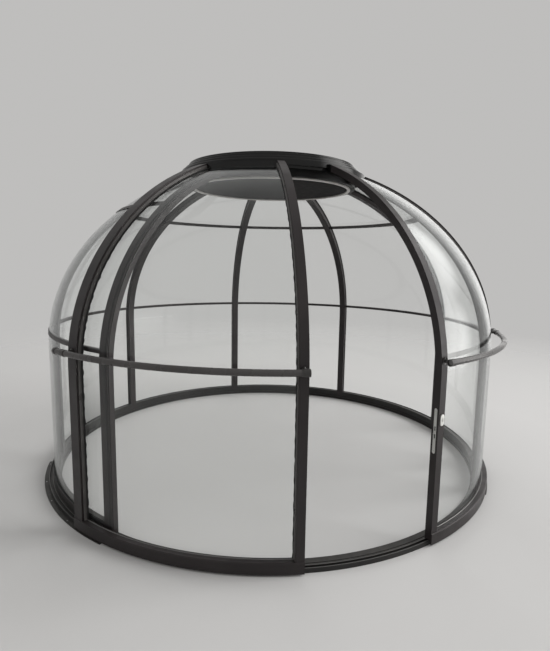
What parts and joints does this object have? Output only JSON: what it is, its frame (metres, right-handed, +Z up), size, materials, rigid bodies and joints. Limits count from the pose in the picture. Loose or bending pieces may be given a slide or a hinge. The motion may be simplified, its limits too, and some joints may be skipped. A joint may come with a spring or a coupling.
{
  "type": "garden dome",
  "caption": "Round walk-in garden dome of clear curved sheets in a dark ribbed frame, with a stepped crown and two curved sliding door leaves with hand bars.",
  "frame": {"origin": "on the ground, on the dome's upright axis, at the middle of its round ring", "axes": "+Z up along the dome's axis; the doorway's middle faces -Y; +X to the right as seen from outside the doorway"},
  "size_m": [4, 4.0097, 2.6764],
  "materials": {
    "frame_metal": "dark bronze powder coat, satin",
    "ring_metal": "dark bronze powder coat, a little weathered",
    "crown_metal": "near-black powder coat, satin",
    "bar_metal": "grey powder coat, satin",
    "bracket_metal": "near-black powder coat, satin",
    "clear_sheet": "clear polycarbonate, glossy",
    "trim_ring": "light grey, satin",
    "ceiling_dark": "dark brown, matte",
    "seal_rubber": "black, matte",
    "roller_plastic": "pale nylon, matte",
    "lock_metal": "brushed"
  },
  "bodies": {
    "frame": {"base_1": "ring_metal", "base_2": "ring_metal", "base_3": "ring_metal", "base_4": "ring_metal", "base_5": "ring_metal", "base_6": "ring_metal", "threshold_left": "ring_metal", "threshold_right": "ring_metal", "jamb_left": "frame_metal", "jamb_right": "frame_metal", "rib_1": "frame_metal", "rib_2": "frame_metal", "rib_3": "frame_metal", "rib_4": "frame_metal", "rib_5": "frame_metal", "panel_1": "clear_sheet", "panel_2": "clear_sheet", "panel_3": "clear_sheet", "panel_4": "clear_sheet", "panel_5": "clear_sheet", "panel_6": "clear_sheet", "middle_bars": "frame_metal", "upper_bars": "frame_metal", "crown_hub": "crown_metal", "crown_ring": "crown_metal", "head_guide": "crown_metal", "crown_trim": "trim_ring", "ceiling_disc": "ceiling_dark", "roof_cap": "crown_metal"},
    "leaf_left": {"leading_stile_left": "frame_metal", "trailing_stile_left": "frame_metal", "bottom_rail_left": "frame_metal", "rollers_left": "roller_plastic", "head_rail_left": "frame_metal", "door_sheet_left": "clear_sheet", "seals_left": "seal_rubber", "hand_bar_left": "bar_metal", "bar_brackets_left": "bracket_metal", "strike_plate": "lock_metal"},
    "leaf_right": {"leading_stile_right": "frame_metal", "trailing_stile_right": "frame_metal", "bottom_rail_right": "frame_metal", "rollers_right": "roller_plastic", "head_rail_right": "frame_metal", "door_sheet_right": "clear_sheet", "seals_right": "seal_rubber", "hand_bar_right": "bar_metal", "bar_brackets_right": "bracket_metal", "lock_plate": "lock_metal", "key_escutcheon": "lock_metal"}
  },
  "joints": [
    {"name": "leaf_left_slide_round", "type": "hinge", "parent": "frame", "child": "leaf_left", "pos_m": [0, 0, 0], "axis": [0, 0, 1], "range_deg": [-34.4, 7.6]},
    {"name": "leaf_right_slide_round", "type": "hinge", "parent": "frame", "child": "leaf_right", "pos_m": [0, 0, 0], "axis": [0, 0, 1], "range_deg": [-18.1, 23.9]}
  ]
}
